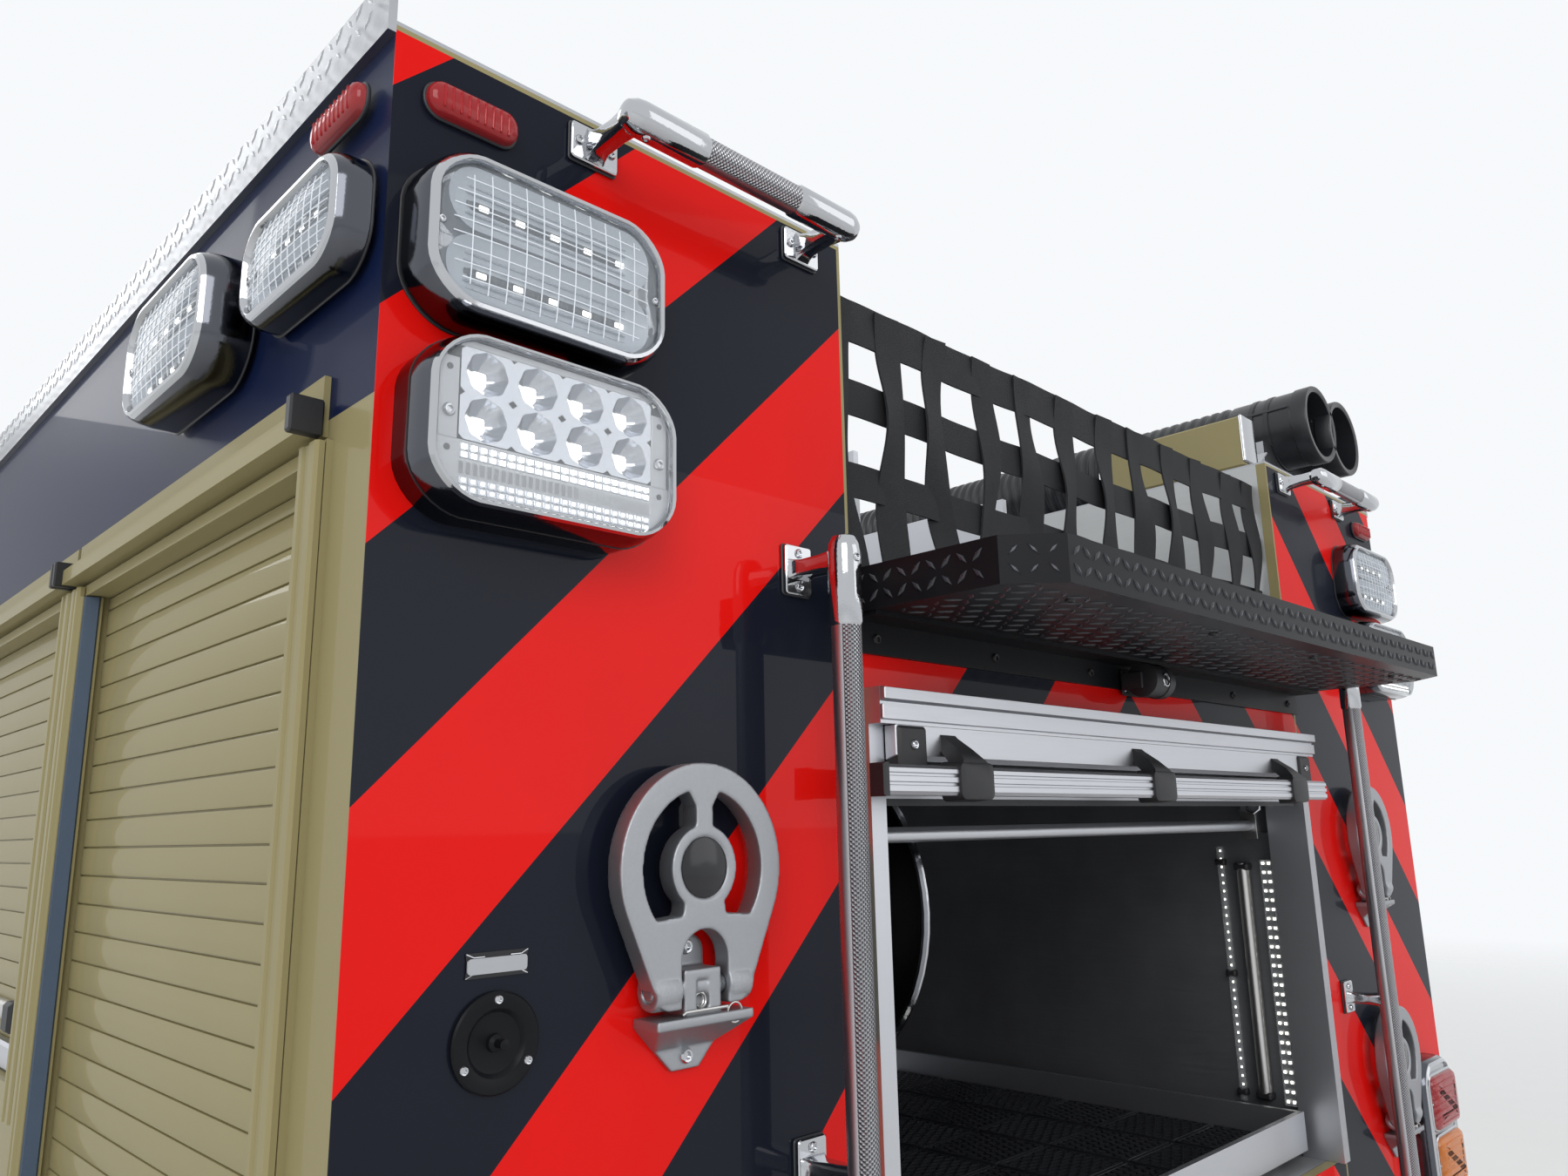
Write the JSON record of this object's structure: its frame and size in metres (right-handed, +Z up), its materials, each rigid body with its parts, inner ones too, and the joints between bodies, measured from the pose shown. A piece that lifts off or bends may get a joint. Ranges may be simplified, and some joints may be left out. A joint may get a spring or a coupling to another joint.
{
  "type": "mini pumper fire truck",
  "caption": "Small fire engine on a two-door truck chassis with a pump house, side lockers behind roll-up shutters, an open hose bed and a rear locker with a slide-out tray.",
  "frame": {"origin": "centre of the truck's outline at ground level, under the wheels", "axes": "+Z up, -Y towards the front bumper, +Y towards the tailboard, +X towards the driver's left side"},
  "size_m": [2.652, 7.32, 2.5478],
  "materials": {
    "frame_black": "satin",
    "navy_tan": "gloss",
    "body_paint": "gloss",
    "glass": "clear",
    "interior": "matte",
    "seat_cloth": "woven",
    "chrome": "mirror",
    "black_plastic": "textured",
    "lamp_clear": "clear lens over chrome",
    "lamp_red": "gloss",
    "tread_plate": "diamond plate",
    "black_plate": "satin diamond plate",
    "aluminium": "satin anodised",
    "steel": "brushed",
    "cast": "cast",
    "cast_iron": "rough",
    "tank": "smooth",
    "rubber": "matte",
    "tyre": "matte",
    "wheel": "polished",
    "webbing": "woven webbing"
  },
  "bodies": {
    "chassis": {"frame_rails": "frame_black", "axle_beams": "cast_iron", "leaf_springs": "frame_black", "driveline": "cast_iron", "engine_block": "cast_iron", "fuel_tank": "black_plastic", "cab_shell": "navy_tan", "cab_glass": "glass", "dashboard": "interior", "seats": "seat_cloth", "front_wings": "navy_tan", "grille": "chrome", "headlamps": "lamp_clear", "front_bumper": "chrome", "running_boards": "tread_plate", "light_bar": "lamp_red", "pump_house": "body_paint", "pump_ports": "chrome", "side_module_left": "body_paint", "side_module_right": "body_paint", "side_shutters": "body_paint", "hose_bed": "aluminium", "water_tank": "tank", "compartment_liner": "aluminium", "rear_panel": "body_paint", "rear_shutter": "aluminium", "shutter_frame": "aluminium", "upper_step": "black_plate", "tailboard": "tread_plate", "grab_rails": "steel", "body_lamps": "lamp_clear", "tail_lamps": "lamp_red", "hose_net": "webbing", "hard_suctions": "rubber", "roof_trim": "tread_plate", "step_feet": "cast", "rear_fittings": "black_plastic"},
    "knuckle_left": {"knuckle_left": "cast_iron"},
    "knuckle_right": {"knuckle_right": "cast_iron"},
    "wheel_front_left": {"tyre_front_left": "tyre", "rim_front_left": "wheel"},
    "wheel_front_right": {"tyre_front_right": "tyre", "rim_front_right": "wheel"},
    "wheel_rear_left": {"tyre_rear_left": "tyre", "rim_rear_left": "wheel"},
    "wheel_rear_right": {"tyre_rear_right": "tyre", "rim_rear_right": "wheel"},
    "door_left": {"door_left": "navy_tan", "door_glass_left": "glass"},
    "door_right": {"door_right": "navy_tan", "door_glass_right": "glass"},
    "hood": {"hood": "navy_tan"},
    "step_upper_left": {"folding_step_upper_left": "cast"},
    "step_upper_right": {"folding_step_upper_right": "cast"},
    "step_lower_left": {"folding_step_lower_left": "cast"},
    "step_lower_right": {"folding_step_lower_right": "cast"},
    "tray": {"tray": "aluminium", "tray_mat": "rubber"},
    "reel": {"reel": "steel"}
  },
  "joints": [
    {"name": "steer_left", "type": "hinge", "parent": "chassis", "child": "knuckle_left", "pos_m": [0.85, -2.423, 0.4035], "axis": [0, 0, 1], "range_deg": [-35, 35]},
    {"name": "steer_right", "type": "hinge", "parent": "chassis", "child": "knuckle_right", "pos_m": [-0.85, -2.423, 0.4035], "axis": [0, 0, 1], "range_deg": [-35, 35]},
    {"name": "spin_front_left", "type": "hinge", "parent": "knuckle_left", "child": "wheel_front_left", "pos_m": [0.95, -2.423, 0.4035], "axis": [1, 0, 0], "continuous": true},
    {"name": "spin_front_right", "type": "hinge", "parent": "knuckle_right", "child": "wheel_front_right", "pos_m": [-0.95, -2.423, 0.4035], "axis": [1, 0, 0], "continuous": true},
    {"name": "spin_rear_left", "type": "hinge", "parent": "chassis", "child": "wheel_rear_left", "pos_m": [0.94, 1.87, 0.4035], "axis": [1, 0, 0], "continuous": true},
    {"name": "spin_rear_right", "type": "hinge", "parent": "chassis", "child": "wheel_rear_right", "pos_m": [-0.94, 1.87, 0.4035], "axis": [1, 0, 0], "continuous": true},
    {"name": "door_left_hinge", "type": "hinge", "parent": "chassis", "child": "door_left", "pos_m": [1.046, -1.863, 1.2], "axis": [0, 0, -1], "range_deg": [0, 70]},
    {"name": "door_right_hinge", "type": "hinge", "parent": "chassis", "child": "door_right", "pos_m": [-1.046, -1.863, 1.2], "axis": [0, 0, 1], "range_deg": [0, 70]},
    {"name": "hood_hinge", "type": "hinge", "parent": "chassis", "child": "hood", "pos_m": [0, -2.033, 1.418], "axis": [-1, 0, 0], "range_deg": [0, 55]},
    {"name": "step_upper_left_fold", "type": "hinge", "parent": "chassis", "child": "step_upper_left", "pos_m": [0.893, 3.412, 1.44], "axis": [-1, 0, 0], "range_deg": [0, 90]},
    {"name": "step_upper_right_fold", "type": "hinge", "parent": "chassis", "child": "step_upper_right", "pos_m": [-0.893, 3.412, 1.44], "axis": [-1, 0, 0], "range_deg": [0, 90]},
    {"name": "step_lower_left_fold", "type": "hinge", "parent": "chassis", "child": "step_lower_left", "pos_m": [0.893, 3.412, 1.014], "axis": [-1, 0, 0], "range_deg": [0, 90]},
    {"name": "step_lower_right_fold", "type": "hinge", "parent": "chassis", "child": "step_lower_right", "pos_m": [-0.893, 3.412, 1.014], "axis": [-1, 0, 0], "range_deg": [0, 90]},
    {"name": "tray_slide", "type": "slide", "parent": "chassis", "child": "tray", "axis": [0, 1, 0], "range_m": [0, 0.7]},
    {"name": "reel_spin", "type": "hinge", "parent": "chassis", "child": "reel", "pos_m": [0.452, 3.045, 1.468], "axis": [1, 0, 0], "continuous": true}
  ],
  "couplings": [
    {"joint": "steer_right", "follows": "steer_left", "ratio": 1}
  ]
}
